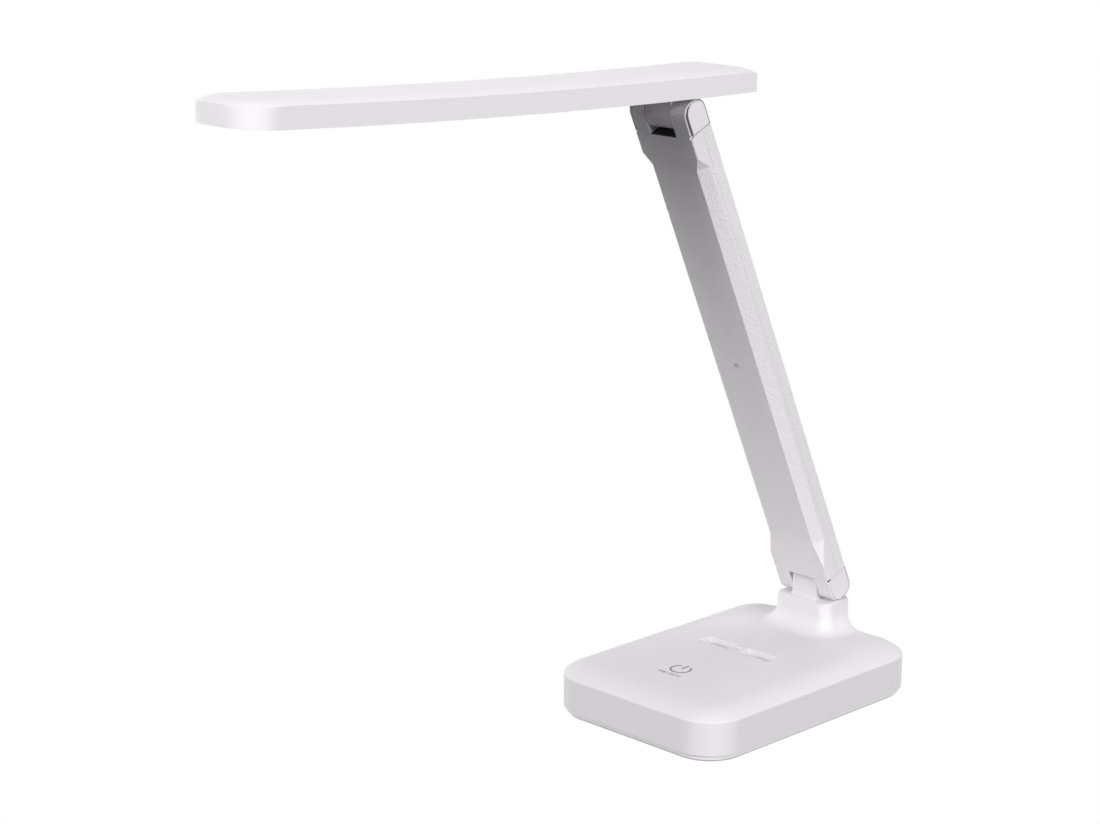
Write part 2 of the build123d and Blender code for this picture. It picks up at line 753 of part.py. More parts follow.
def bowed_strip(plan, low, high, y=None):
    """Strip of the light bar between two heights over its underside, bent up at both ends."""
    size = plan.bounding_box().size
    section = Plane.XZ * Pos(0, (low + high) / 2) * Rectangle(size.X, high - low)
    sweep = degrees(1.2 * size.Y / bow_radius)
    strip = revolve(section, axis=Axis((0, 0, bow_radius), (1, 0, 0)), revolution_arc=sweep)
    strip = strip.rotate(Axis((0, 0, bow_radius), (1, 0, 0)), -sweep / 2)
    middle = bar_mid_y if y is None else y
    cutter = Pos(0, middle - bar_mid_y, low - bar_side) * extrude(plan, amount=high - low + 2 * bar_side)
    return Pos(0, bar_mid_y, bar_mid_z) * (strip & cutter)


def shell_plan(inset):
    """Outline of the light bar, or a line inside it."""
    return bar_plan(bar_width - 2 * inset, bar_length - 2 * inset, bar_corner - inset,
                    bar_rear_corner - inset)


def window_plan(grow):
    """Outline of the window in the bottom frame, or a line round it."""
    return RectangleRounded(window_width + 2 * grow, window_length + 2 * grow, window_corner + grow)


def bar_outside():
    """The light bar as one lump: its top rolls down to the rim on one radius."""
    roll = (bar_margin**2 + bar_rise**2) / (2 * bar_rise)
    spread = 2 * (roll - bar_margin)
    top = bar_side + bar_rise
    plan = bar_plan(bar_width + spread, bar_length + spread, bar_crown_corner, bar_crown_rear)
    crown = bowed_strip(plan, top - 2 * roll, top)
    crown = fillet(crown.faces().sort_by(Axis.Z)[-1].edges(), roll)
    body = bowed_strip(shell_plan(0), 0, top) & crown
    return body


def bar_height(y):
    """Underside of the bar above its upper pivot, at a place along the bar."""
    return bar_mid_z + (y - bar_mid_y)**2 / (2 * bow_radius)


def frame_end_y():
    """Free end of the bottom frame."""
    return bar_mid_y - bar_length / 2 + bar_wall + frame_gap


def window_y():
    return frame_end_y() + window_end + window_length / 2


def bracket_holes():
    return [(side * bracket_screw_x, end * bracket_screw_y) for side in (-1, 1) for end in (-1, 1)]


def bar_top_cover():
    cover = bar_outside() - bowed_strip(shell_plan(bar_wall), -bar_wall, bar_side - bar_roof)
    ceiling = bar_drop + bar_side - bar_roof + bar_wall / 2
    bracket_top = bracket_base_z() + bracket_thickness
    for x, y in bracket_holes():
        cover += upright(bracket_post_diameter, bracket_top, ceiling, x, y)
        cover -= upright(board_screw_diameter, bracket_top, ceiling - bar_wall, x, y)
    return cover


def bracket_base_z():
    """Underside of the bracket's plate: on top of the frame, with a little room for the bow."""
    return bar_drop + frame_thickness + bracket_hole_gap


def bar_bottom_frame():
    frame = bowed_strip(shell_plan(bar_wall + frame_gap), 0, frame_thickness)
    top = frame_thickness + 1
    frame -= bowed_strip(window_plan(0), -1, top, window_y())
    frame -= bowed_strip(window_plan(diffuser_flange + diffuser_gap), diffuser_ledge, top, window_y())
    hole = tongue_half + bracket_hole_gap
    reach = hinge_radius + bracket_hole_gap
    frame -= block(-hole, hole, -reach, reach, 0, bar_drop + bar_side)
    return frame


def diffuser():
    """Opal panel: a flange behind the frame and a step that fills the window."""
    panel = bowed_strip(window_plan(diffuser_flange), diffuser_ledge, diffuser_thickness, window_y())
    step = bowed_strip(window_plan(-diffuser_gap), diffuser_gap, diffuser_thickness, window_y())
    return panel + step


def board_low():
    """Underside of the LED board over the bar's underside; the board hangs from the ceiling."""
    return bar_side - bar_roof - board_tape - board_thickness


def led_board():
    plan = RectangleRounded(board_width, window_length - 2 * board_end_gap, board_corner)
    return bowed_strip(plan, board_low(), board_low() + board_thickness, window_y())


def led_chips():
    chips = []
    per_row = led_count // led_rows
    pitch = (window_length - 2 * led_end) / (per_row - 1)
    for row in range(led_rows):
        x = (row - (led_rows - 1) / 2) * led_row_pitch
        for i in range(per_row):
            y = window_y() + (i - (per_row - 1) / 2) * pitch
            tip = degrees((y - bar_mid_y) / bow_radius)
            chip = Pos(x, y, bar_height(y) + board_low() - led_height / 2) * Rot(tip, 0, 0)
            chips.append(chip * Box(led_size, led_size, led_height))
    return chips


def bar_hinge_bracket():
    """Plate inside the bar with the tongue that hangs from it into the arm's clevis."""
    low = bracket_base_z()
    plate = slab(bracket_width, bracket_length, bracket_corner, low, low + bracket_thickness)
    plate += Rot(180, 0, 0) * hinge_tongue(low + bracket_thickness / 2)
    plate -= crosswise(bush_radius + contact_gap, -arm_half, arm_half)
    for x, y in bracket_holes():
        plate -= upright(board_screw_diameter + 2 * peg_clearance, low, low + bracket_thickness, x, y)
        plate -= upright(board_screw_head + 2 * peg_clearance, low, low + board_screw_head_height, x, y)
    return plate


def bracket_screws():
    shape = screw(board_screw_head, board_screw_head_height, board_screw_diameter - 2 * contact_gap,
                  bracket_screw_length)
    seat = bracket_base_z() + board_screw_head_height
    return [Pos(x, y, seat) * shape for x, y in bracket_holes()]


# ---- Assembly ---------------------------------------------------------------------------------
def lamp_pieces():
    """Every piece of the lamp under the name of its file."""
    at_lower_pivot = Pos(0, lower_pivot_y, lower_pivot_z)
    arm_front, arm_rear = arm_shells()
    pieces = {
        "base_top_cover": base_top_cover(),
        "base_bottom_plate": base_bottom_plate(),
        "anti_slip_pad": anti_slip_pad(),
        "base_screws": base_screws(),
        "base_counterweight": counterweight(),
        "battery_cell": battery_cell(),
        "control_board": control_board(),
        "inlet_board": inlet_board(),
        "board_screws": board_screws(),
        "touch_electrode": touch_electrode(),
        "charging_socket": charging_socket(),
        "lower_hinge_bush": at_lower_pivot * hinge_bush(),
        "arm_front_cover": on_arm(arm_front),
        "arm_rear_cover": on_arm(arm_rear),
        "arm_lead": on_arm(arm_lead()),
        "bar_top_cover": on_bar(bar_top_cover()),
        "bar_bottom_frame": on_bar(bar_bottom_frame()),
        "bar_diffuser": on_bar(diffuser()),
        "led_board": on_bar(led_board()),
        "led_chips": group(on_bar(chip) for chip in led_chips()),
        "bar_hinge_bracket": on_bar(bar_hinge_bracket()),
        "bracket_screws": group(on_bar(piece) for piece in bracket_screws()),
        "upper_hinge_bush": on_bar(hinge_bush()),
    }
    for name, place, step in (("lower", at_lower, 0), ("upper", at_upper, cap_step)):
        pieces[name + "_hinge_pin"] = on_arm(place(hinge_pin()))
        pieces[name + "_hinge_nut"] = on_arm(place(hinge_nut()))
        pieces[name + "_hinge_washers"] = group(on_arm(place(ring)) for ring in hinge_washers())
        pieces[name + "_cap_right"] = on_arm(place(side_cap(step)))
        pieces[name + "_cap_left"] = on_arm(place(other_side(side_cap(step))))
    return pieces


os.makedirs("parts", exist_ok=True)
for piece_name, piece in lamp_pieces().items():
    export_step(piece, os.path.join("parts", piece_name + ".step"))
    print(piece_name, len(piece.solids()), "solids", round(sum(s.volume for s in piece.solids())), "mm3")
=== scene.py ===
# %% [markdown]
# # A folding desk lamp in a white studio
#
# The lamp is a real product shape: a weighted base, a folding arm and a long bowed light bar.
# Its pieces arrive as finished, correctly sized meshes, called the frame. This lesson gives every
# piece its finish, shades the gaps at the hinges, prints the switch mark on the base, and sets the
# studio and the camera. The order is: frame, camera, studio, shared effects, finishes, gaps, ink.

# %% Load the frame
from math import cos, pi, radians, sin

import bpy
from mathutils import Matrix, Vector


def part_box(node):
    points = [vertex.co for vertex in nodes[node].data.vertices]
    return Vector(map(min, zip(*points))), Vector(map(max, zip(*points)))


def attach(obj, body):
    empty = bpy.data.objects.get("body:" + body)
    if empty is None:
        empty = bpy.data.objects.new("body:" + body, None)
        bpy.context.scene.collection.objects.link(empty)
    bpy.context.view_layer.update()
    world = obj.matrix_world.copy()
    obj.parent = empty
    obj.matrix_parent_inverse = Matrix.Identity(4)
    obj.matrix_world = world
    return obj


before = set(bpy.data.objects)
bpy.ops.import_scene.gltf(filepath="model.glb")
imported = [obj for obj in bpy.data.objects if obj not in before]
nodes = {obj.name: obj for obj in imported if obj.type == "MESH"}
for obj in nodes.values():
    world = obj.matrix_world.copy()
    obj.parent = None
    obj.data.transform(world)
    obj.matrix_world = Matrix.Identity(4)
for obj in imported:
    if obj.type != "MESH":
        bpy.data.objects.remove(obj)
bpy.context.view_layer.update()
print("pieces in the frame:", len(nodes))


# %% [markdown]
# Sizes on a product like this are known in millimetres, and Blender's scene is in metres.
# One small function keeps every number below readable as the real size.

# %% Millimetres
def mm(*values):
    """Millimetres to metres: one value as a number, several as a vector."""
    return values[0] / 1000 if len(values) == 1 else Vector(values) / 1000


# %% [markdown]
# ## Camera
#
# A catalogue photo of a lamp is taken from a little above, with a long lens, so that the upright
# lines stay nearly parallel. The camera here is placed the way a photographer would say it:
# how far round the lamp it stands, how far down it looks, how far away it is and what it looks at.
# The alternative is to type a location and three Euler angles, but those say nothing to a reader.

# %% Camera
camera_round = radians(45.231)      # from straight in front towards the lamp's right
camera_down = radians(14.274)
camera_roll = radians(0.29)
camera_away = mm(1048.68)
camera_aim = mm(51.61, -176.78, 183.20)
lens_mm = 85.19
sensor_mm = 36.0
sight_limit = 50.0                  # metres, beyond the table's far edge


def photographer_view():
    """The camera's axes and place from the angles above."""
    level_part = cos(camera_down)
    back = Vector((sin(camera_round) * level_part, -cos(camera_round) * level_part, sin(camera_down)))
    level = Vector((cos(camera_round), sin(camera_round), 0))
    upright = back.cross(level)
    right = cos(camera_roll) * level + sin(camera_roll) * upright
    up = cos(camera_roll) * upright - sin(camera_roll) * level
    view = Matrix((right, up, back)).transposed().to_4x4()
    view.translation = camera_aim + camera_away * back
    return view


camera_data = bpy.data.cameras.new("camera")
camera_data.sensor_width = sensor_mm
camera_data.lens = lens_mm
camera_data.clip_end = sight_limit
camera = bpy.data.objects.new("camera", camera_data)
camera.matrix_world = photographer_view()
bpy.context.scene.collection.objects.link(camera)
bpy.context.scene.camera = camera
bpy.context.scene.view_settings.view_transform = "Standard"
print("camera stands at", [round(c, 3) for c in camera.matrix_world.translation])


# %% [markdown]
# ## Studio
#
# White goods on white are hard to light: with light from all round, every face turns the same
# pale grey and the shape is lost. The studio is therefore dark apart from softboxes three metres
# away, each with one job. Two narrow strips stand in front, one higher than the other: the light bar
# hangs between them and the arm, and its long soft shadow darkens the arm towards the top. The
# ones on the right and left light the sides, and the higher one on the right also reaches the ear
# under the bar. Two low ones behind the lamp graze the base and the bar, and a small one close
# overhead lifts the bar's top. The alternative, a bright room, washes the arm out.

# %% Lights
light_distance = 3.0
lamp_middle = mm(0, -100, 150)
softboxes = {                      # turn, rise, width and height in metres, watts
    "front_strip": (0, 20, 0.5, 1.2, 49.0),
    "front_tall_strip": (0, 28, 0.5, 1.95, 18.0),
    "right_softbox": (100, 10, 1.0, 0.8, 40.0),
    "right_high_softbox": (75, 26, 0.8, 0.8, 34.0),
    "left_softbox": (270, 7, 1.06, 0.7, 46.0),
    "back_softbox": (180, 10, 2.0, 0.6, 36.0),
    "back_left_softbox": (225, 14, 1.6, 0.8, 20.0),
}
overhead_place = mm(0, -200, 1100)
overhead_aim = mm(0, -200, 0)
overhead_side = 0.4
overhead_power = 2.7


def softbox(name, place, aim, width, height, power):
    """A rectangular area light at a place, turned to its aim: metres and watts."""
    data = bpy.data.lights.new(name, "AREA")
    data.shape = "RECTANGLE"
    data.size = width
    data.size_y = height
    data.energy = power
    light = bpy.data.objects.new(name, data)
    turned = (Vector(aim) - Vector(place)).to_track_quat("-Z", "Y").to_matrix().to_4x4()
    light.matrix_world = Matrix.Translation(place) @ turned
    bpy.context.scene.collection.objects.link(light)
    return light


def from_lamp(turn, rise):
    """A light's place: degrees round from straight in front towards the right, and degrees up."""
    turn, rise = radians(turn), radians(rise)
    away = Vector((sin(turn) * cos(rise), -cos(turn) * cos(rise), sin(rise)))
    return lamp_middle + light_distance * away


studio = []
for name, (turn, rise, width, height, power) in softboxes.items():
    studio.append(softbox(name, from_lamp(turn, rise), lamp_middle, width, height, power))
studio.append(softbox("overhead_softbox", overhead_place, overhead_aim,
                      overhead_side, overhead_side, overhead_power))
print("lights:", [light.name for light in studio])

# %% [markdown]
# The room behind the lamp is plain white to the camera, like a catalogue page, but gives the
# object no light of its own. A white wall would look the same but would throw light back on the
# lamp, so the room is the world's background. The Light Path node tells the two uses apart.

# %% World
white = (1, 1, 1, 1)
room_strength = 0.0

world = bpy.data.worlds.new("white_room")
bpy.context.scene.world = world
world.use_nodes = True
sky = world.node_tree
sky.nodes.clear()
room = sky.nodes.new("ShaderNodeBackground")
room.inputs["Color"].default_value = white
room.inputs["Strength"].default_value = room_strength
page = sky.nodes.new("ShaderNodeBackground")
page.inputs["Color"].default_value = white
ray = sky.nodes.new("ShaderNodeLightPath")
choice = sky.nodes.new("ShaderNodeMixShader")
output = sky.nodes.new("ShaderNodeOutputWorld")
sky.links.new(ray.outputs["Is Camera Ray"], choice.inputs["Fac"])
sky.links.new(room.outputs["Background"], choice.inputs[1])
sky.links.new(page.outputs["Background"], choice.inputs[2])
sky.links.new(choice.outputs["Shader"], output.inputs["Surface"])
print("room light strength", room_strength)

# %% [markdown]
# The table is one matt sheet, a hair under the lamp's foot so that the two don't flicker through
# each other. For the camera it is overexposed to pure white, as paper is in such a studio, and for
# the lamp it is dim, so that it throws little light up. A camera under the table looks through it,
# so the underside can be inspected too: Backfacing tells the two sides apart. A sheet of glass
# would let light through as well.

# %% Table
table_size = 16.0
table_drop = mm(0.1)
table_tone = (0.18, 0.18, 0.18, 1)


def table_top():
    """A plain table under the lamp."""
    half = table_size / 2
    mesh = bpy.data.meshes.new("table")
    outline = ((-half, -half), (half, -half), (half, half), (-half, half))
    mesh.from_pydata([(x, y, -table_drop) for x, y in outline], [], [(0, 1, 2, 3)])
    top = bpy.data.objects.new("table", mesh)
    bpy.context.scene.collection.objects.link(top)
    return top


def table_paper():
    """White to the camera, a dim matt sheet for the lamp, and open to a camera from below."""
    paper = bpy.data.materials.new("table_paper")
    paper.use_nodes = True
    tree = paper.node_tree
    sheet = tree.nodes["Principled BSDF"]
    sheet.inputs["Base Color"].default_value = table_tone
    sheet.inputs["Roughness"].default_value = 1.0
    sheet.inputs["Specular IOR Level"].default_value = 0.0
    glow = tree.nodes.new("ShaderNodeEmission")
    side = tree.nodes.new("ShaderNodeNewGeometry")
    through = tree.nodes.new("ShaderNodeBsdfTransparent")
    seen = tree.nodes.new("ShaderNodeMixShader")
    tree.links.new(side.outputs["Backfacing"], seen.inputs["Fac"])
    tree.links.new(glow.outputs["Emission"], seen.inputs[1])
    tree.links.new(through.outputs["BSDF"], seen.inputs[2])
    view = tree.nodes.new("ShaderNodeLightPath")
    pick = tree.nodes.new("ShaderNodeMixShader")
    tree.links.new(view.outputs["Is Camera Ray"], pick.inputs["Fac"])
    tree.links.new(sheet.outputs["BSDF"], pick.inputs[1])
    tree.links.new(seen.outputs["Shader"], pick.inputs[2])
    tree.links.new(pick.outputs["Shader"], tree.nodes["Material Output"].inputs["Surface"])
    return paper


table = table_top()
table.data.materials.append(table_paper())
print("table", table_size, "m square")


# %% [markdown]
# ## Shared effects
#
# Several finishes share the same small truths. A moulded skin is never perfectly flat: the tool
# was spark eroded, so it carries a fine grain. And no gloss is even: handling and the flow of the
# plastic change it slowly across a part. Each effect is one node group with named sockets, so each
# material can place it with its own size and depth. Copying the nodes into every material would
# look the same, but a later change would have to be made a dozen times.

# %% Node helpers
def new_group(name, inputs, outputs):
    """An empty node group with its sockets: name to default value, and output names to kinds."""
    group = bpy.data.node_groups.new(name, "ShaderNodeTree")
    for socket_name, value in inputs.items():
        kind = "NodeSocketColor" if isinstance(value, tuple) else "NodeSocketFloat"
        if socket_name == "Vector":
            kind = "NodeSocketVector"
        socket = group.interface.new_socket(socket_name, in_out="INPUT", socket_type=kind)
        socket.default_value = value
    for socket_name, kind in outputs.items():
        group.interface.new_socket(socket_name, in_out="OUTPUT", socket_type=kind)
    entry = group.nodes.new("NodeGroupInput")
    leave = group.nodes.new("NodeGroupOutput")
    return group, entry, leave


def add(tree, kind, links=(), **settings):
    """A node with its settings, and its inputs linked or set: (input, socket or value) pairs."""
    node = tree.nodes.new(kind)
    for key, value in settings.items():
        setattr(node, key, value)
    for socket, source in links:
        if isinstance(source, bpy.types.NodeSocket):
            tree.links.new(source, node.inputs[socket])
        else:
            node.inputs[socket].default_value = source
    return node


def per_metre(group, size):
    """A texture's scale from a size in millimetres."""
    links = ((0, 1000.0), (1, size))
    return add(group, "ShaderNodeMath", links, operation="DIVIDE").outputs[0]


print("node helpers:", [helper.__name__ for helper in (new_group, add, per_metre)])


# %% [markdown]
# The grain takes after eroded steel: rounded pits, which a smooth Voronoi texture gives, made
# deeper and shallower by soft hills from noise. The same hills swing the roughness a little, so
# that the gloss is broken too. Noise alone looks like cloth, and pits alone look like a sieve.

# %% Moulded grain
hill_detail = 2.0                  # octaves of noise in the grain's hills
noise_mean = 0.5                   # taken off, so that the gloss swings both ways


def moulded_grain():
    """Spark-eroded skin: small rounded pits of mixed size. Grain is their size in millimetres."""
    group, entry, leave = new_group(
        "moulded_grain", {"Vector": (0, 0, 0), "Grain": 0.3, "Gloss": 0.4, "Spread": 0.1},
        {"Height": "NodeSocketFloat", "Roughness": "NodeSocketFloat"})
    where = ("Vector", entry.outputs["Vector"])
    scale = ("Scale", per_metre(group, entry.outputs["Grain"]))
    pits = add(group, "ShaderNodeTexVoronoi", (where, scale), feature="SMOOTH_F1")
    hills = add(group, "ShaderNodeTexNoise", (where, scale, ("Detail", hill_detail)))
    height = add(group, "ShaderNodeMath", (
        (0, pits.outputs["Distance"]), (1, hills.outputs["Fac"])), operation="MULTIPLY")
    swing = add(group, "ShaderNodeMath", (
        (0, hills.outputs["Fac"]), (1, noise_mean)), operation="SUBTRACT")
    gloss = add(group, "ShaderNodeMath", (
        (0, swing.outputs[0]), (1, entry.outputs["Spread"]), (2, entry.outputs["Gloss"])),
        operation="MULTIPLY_ADD")
    group.links.new(height.outputs[0], leave.inputs["Height"])
    group.links.new(gloss.outputs[0], leave.inputs["Roughness"])
    return group


effects = {"grain": moulded_grain()}
print("shared effects:", list(effects))


# %% [markdown]
# Plastic and plating change tone slowly over a part, too little to notice until it is missing.
# A soft cloud moves each colour between two near shades. A painted picture would need an unwrap.

# %% Slow drift
cloud_detail = 3.0                 # octaves of noise in the cloud
mix_a, mix_b, mix_result = 6, 7, 2   # the Mix node's colour sockets, which share their names


def slow_drift():
    """Cloudy change over tens of millimetres: moves a colour between two near shades."""
    group, entry, leave = new_group(
        "slow_drift", {"Vector": (0, 0, 0), "Size": 40.0,
                       "Light": (0.8, 0.8, 0.8, 1), "Dark": (0.7, 0.7, 0.7, 1)},
        {"Color": "NodeSocketColor"})
    scale = per_metre(group, entry.outputs["Size"])
    cloud = add(group, "ShaderNodeTexNoise",
                (("Vector", entry.outputs["Vector"]), ("Scale", scale), ("Detail", cloud_detail)))
    mix = add(group, "ShaderNodeMix", ((0, cloud.outputs["Fac"]),), data_type="RGBA")
    group.links.new(entry.outputs["Dark"], mix.inputs[mix_a])
    group.links.new(entry.outputs["Light"], mix.inputs[mix_b])
    group.links.new(mix.outputs[mix_result], leave.inputs["Color"])
    return group


effects["drift"] = slow_drift()
print("shared effects:", list(effects))


# %% [markdown]
# ## Moulded plastics
#
# Nearly every outer piece of this lamp is moulded, so one function makes all the plastics. It
# takes two near shades, a mean roughness, and the grain's size and depth in millimetres. The
# grain goes to a Bump node: real geometry this fine would need millions of faces.

# %% Plastic helper
plastic_drift = 45.0               # size of the slow change of tone, in millimetres
plastic_spread = 0.12              # how far the roughness swings
plastic_index = 1.52               # refraction of ABS


def start_material(name):
    """A new material with its Principled shader and the object's own coordinates."""
    material = bpy.data.materials.new(name)
    material.use_nodes = True
    tree = material.node_tree
    shader = tree.nodes["Principled BSDF"]
    place = tree.nodes.new("ShaderNodeTexCoord").outputs["Object"]
    return material, tree, shader, place


def place_effect(tree, effect, place, **values):
    """One of the shared effects in a material, with its own values."""
    node = add(tree, "ShaderNodeGroup", node_tree=effects[effect])
    tree.links.new(place, node.inputs["Vector"])
    for key, value in values.items():
        node.inputs[key.capitalize()].default_value = value
    return node


def moulded_plastic(name, light, dark, rough, grain, depth):
    """Matt or satin moulded plastic. Grain and depth of the skin are in millimetres."""
    material, tree, shader, place = start_material(name)
    drift = place_effect(tree, "drift", place, size=plastic_drift, light=(*light, 1), dark=(*dark, 1))
    skin = place_effect(tree, "grain", place, grain=grain, gloss=rough, spread=plastic_spread)
    bump = add(tree, "ShaderNodeBump",
               (("Height", skin.outputs["Height"]), ("Distance", mm(depth)), ("Strength", 1.0)))
    tree.links.new(drift.outputs["Color"], shader.inputs["Base Color"])
    tree.links.new(skin.outputs["Roughness"], shader.inputs["Roughness"])
    tree.links.new(bump.outputs["Normal"], shader.inputs["Normal"])
    shader.inputs["IOR"].default_value = plastic_index
    return material


print("plastics drift over", plastic_drift, "mm")

# %% [markdown]
# The covers are injection moulded ABS in a cool white. The light bar, the side caps and the base
# with its bottom plate come from a smooth tool and have only a soft sheen. The arm and its ears
# come from an eroded tool and show a grain where light grazes them. The base's cover gets a white
# a shade darker than the bar's, and that is painted shade: it stands low, under the bar and the arm,
# where less light falls. One white for all would be simpler, but then the arm loses the skin that
# sets it apart.

# %% White shells
cool_white = (0.812, 0.790, 0.814)
cool_white_deep = (0.797, 0.775, 0.80)
satin_white = moulded_plastic("satin_white", cool_white, cool_white_deep,
                              rough=0.8, grain=0.25, depth=0.004)
grained_white = moulded_plastic("grained_white", cool_white, cool_white_deep,
                                rough=0.65, grain=1.1, depth=0.6)
# the base cover's darker white is painted shade: it stands low under the bar and arm, where less
# light falls
base_white_painted_shade = moulded_plastic("base_white_painted_shade", (0.768, 0.747, 0.770), (0.754, 0.733, 0.757),
                             rough=0.8, grain=0.25, depth=0.004)
print("white shells:", satin_white.name, grained_white.name, base_white_painted_shade.name)

# %% [markdown]
# Under the light bar lie an opal window, which spreads the light of the chips, and the plain frame
# round it. The same plain moulding, darker than the covers, is used for the bracket whose tongue
# shows at the upper hinge; on the tongue this darker white is partly painted shade, for the tongue
# lies in the shadow of the bar. The foot is a soft dark rubber pad. The window could be a translucent
# shader, but the lamp is off and a satin white reads the same.

# %% Underside finishes
# darker than the covers; on the bracket's tongue this white is partly painted shade under the bar
inner_white_and_tongue_shade = moulded_plastic("inner_white_and_tongue_shade", (0.72, 0.70, 0.722), (0.69, 0.67, 0.692),
                              rough=0.6, grain=0.4, depth=0.01)
opal = moulded_plastic("opal", (0.86, 0.87, 0.88), (0.84, 0.85, 0.86),
                       rough=0.35, grain=0.3, depth=0.003)
pad_rubber = moulded_plastic("pad_rubber", (0.10, 0.10, 0.10), (0.075, 0.075, 0.075),
                             rough=0.75, grain=0.6, depth=0.05)
print("underside finishes:", inner_white_and_tongue_shade.name, opal.name, pad_rubber.name)

# %% [markdown]
# Inside the covers nothing is seen until someone takes the lamp apart or cuts it open on screen.
# Each hidden piece still gets the colour such a piece has: natural nylon for the bushes, a blue
# shrink sleeve round the cell, a soft jacket on the lead, solder mask on the boards and yellow
# phosphor on the chips. They are the same moulded finish with other values, because a lacquer or
# a gel has a skin too.

# %% Hidden finishes
nylon = moulded_plastic("nylon", (0.74, 0.71, 0.62), (0.70, 0.66, 0.57),
                        rough=0.4, grain=0.3, depth=0.005)
sleeve = moulded_plastic("sleeve", (0.05, 0.16, 0.36), (0.04, 0.13, 0.31),
                         rough=0.28, grain=0.5, depth=0.003)
jacket = moulded_plastic("jacket", (0.66, 0.66, 0.66), (0.6, 0.6, 0.6),
                         rough=0.5, grain=0.4, depth=0.01)
white_mask = moulded_plastic("white_mask", (0.78, 0.78, 0.76), (0.74, 0.74, 0.72),
                             rough=0.3, grain=0.4, depth=0.003)
green_mask = moulded_plastic("green_mask", (0.02, 0.14, 0.06), (0.015, 0.10, 0.045),
                             rough=0.3, grain=0.4, depth=0.003)
phosphor = moulded_plastic("phosphor", (0.86, 0.66, 0.16), (0.80, 0.58, 0.12),
                           rough=0.3, grain=0.3, depth=0.003)
hidden = (nylon, sleeve, jacket, white_mask, green_mask, phosphor)
print("hidden finishes:", [material.name for material in hidden])


# %% [markdown]
# ## Metals
#
# The hinge pins, nuts and washers are bright plated steel, the screws and the weight are zinc
# plated. Plating has no depth to speak of, so the metals take the slow drift for their tone and
# only the roughness of the grain, not its height.

# %% Metals
metal_drift = 6.0                  # millimetres, small as the pieces are small
metal_grain = 0.12
metal_spread = 0.2


def plated_metal(name, light, dark, rough):
    """Plated metal: a slow change of tone, and a gloss broken by fine marks from handling."""
    material, tree, shader, place = start_material(name)
    drift = place_effect(tree, "drift", place, size=metal_drift, light=(*light, 1), dark=(*dark, 1))
    skin = place_effect(tree, "grain", place, grain=metal_grain, gloss=rough, spread=metal_spread)
    tree.links.new(drift.outputs["Color"], shader.inputs["Base Color"])
    tree.links.new(skin.outputs["Roughness"], shader.inputs["Roughness"])
    shader.inputs["Metallic"].default_value = 1.0
    return material


zinc = plated_metal("zinc", (0.66, 0.66, 0.64), (0.55, 0.56, 0.56), rough=0.35)
bright_steel = plated_metal("bright_steel", (0.72, 0.72, 0.73), (0.62, 0.62, 0.64), rough=0.22)
print("metals:", zinc.name, bright_steel.name)

# %% [markdown]
# ## Dressing the frame
#
# The pieces' shapes are right as they come, so each only needs its finish. A list of piece and
# finish reads like the lamp's parts list, and the count at the end shows that none is forgotten.

# %% Dress the frame
finishes = {
    "base_top_cover": base_white_painted_shade, "base_bottom_plate": satin_white, "anti_slip_pad": pad_rubber,
    "base_screws": zinc, "base_counterweight": zinc, "battery_cell": sleeve,
    "control_board": green_mask, "inlet_board": green_mask, "board_screws": zinc,
    "touch_electrode": bright_steel, "charging_socket": bright_steel, "lower_hinge_bush": nylon,
    "arm_front_cover": grained_white, "arm_rear_cover": grained_white, "arm_lead": jacket,
    "bar_top_cover": satin_white, "bar_bottom_frame": inner_white_and_tongue_shade, "bar_diffuser": opal,
    # the bracket's tongue takes the darker inner white partly as painted shade under the bar
    "led_board": white_mask, "led_chips": phosphor, "bar_hinge_bracket": inner_white_and_tongue_shade,
    "bracket_screws": zinc, "upper_hinge_bush": nylon,
}
for end in ("lower", "upper"):
    for part in ("hinge_pin", "hinge_nut", "hinge_washers"):
        finishes[f"{end}_{part}"] = bright_steel
    for side in ("left", "right"):
        finishes[f"{end}_cap_{side}"] = satin_white
for name, material in finishes.items():
    mesh = nodes[name].data
    mesh.materials.clear()
    mesh.materials.append(material)
print("dressed", len(finishes), "of", len(nodes), "pieces")


# %% [markdown]
# ## Gaps at the hinges
#
# Deep in the hinges' slots and in front of the side caps hardly any light comes back, and the photo
# shows those gaps almost black. The floor of a slot and the front edge of a cap therefore get a
# dark shade of their own. Which faces they are follows from where they lie and which way they face.
# A dark line drawn on the outside would not follow the folding arm. The walls of the small round
# gate mark, where the plastic entered the mould, hold a fine line of shade in the same way.

# %% Shadow tests
hinge_pins = [(Vector(low) + Vector(high)) / 2 for low, high in
              (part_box("lower_hinge_bush"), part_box("upper_hinge_bush"))]
slot_half = mm(8.0)                # half the slot between two ears
slot_reach = mm(11.0)              # from the pin to beyond the slot's floor
gate_reach = mm(1.6)               # a little more than the gate mark's radius
sideways = 0.35                    # faces whose normal leans less than this to the side
facing = 0.3                       # a normal with more than this in a direction faces it
lamp_right = Vector((1, 0, 0))


def slot_floor(centre, normal):
    """True on the floor of either slot between the ears: it faces the pin."""
    if abs(normal.x) > sideways or abs(centre.x) > slot_half:
        return False
    for pin in hinge_pins:
        inward = Vector((0, pin.y - centre.y, pin.z - centre.z))
        if inward.length < slot_reach and normal.dot(inward.normalized()) > facing:
            return True
    return False


def cap_front(centre, normal):
    """True on a side cap's front edge: only the way it faces counts, not its place."""
    return abs(normal.x) < sideways and normal.y < -facing


def gate_wall(centre, normal):
    """True on the upright walls of the small round gate mark, halfway up the arm's front."""
    lower, upper = hinge_pins
    along = (upper - lower).normalized()
    reach = centre - (lower + upper) / 2
    near = Vector((reach.x, reach.dot(along))).length < gate_reach
    return near and abs(normal.dot(along.cross(lamp_right))) < facing


print("hinge pins at", [[round(c, 4) for c in pin] for pin in hinge_pins])


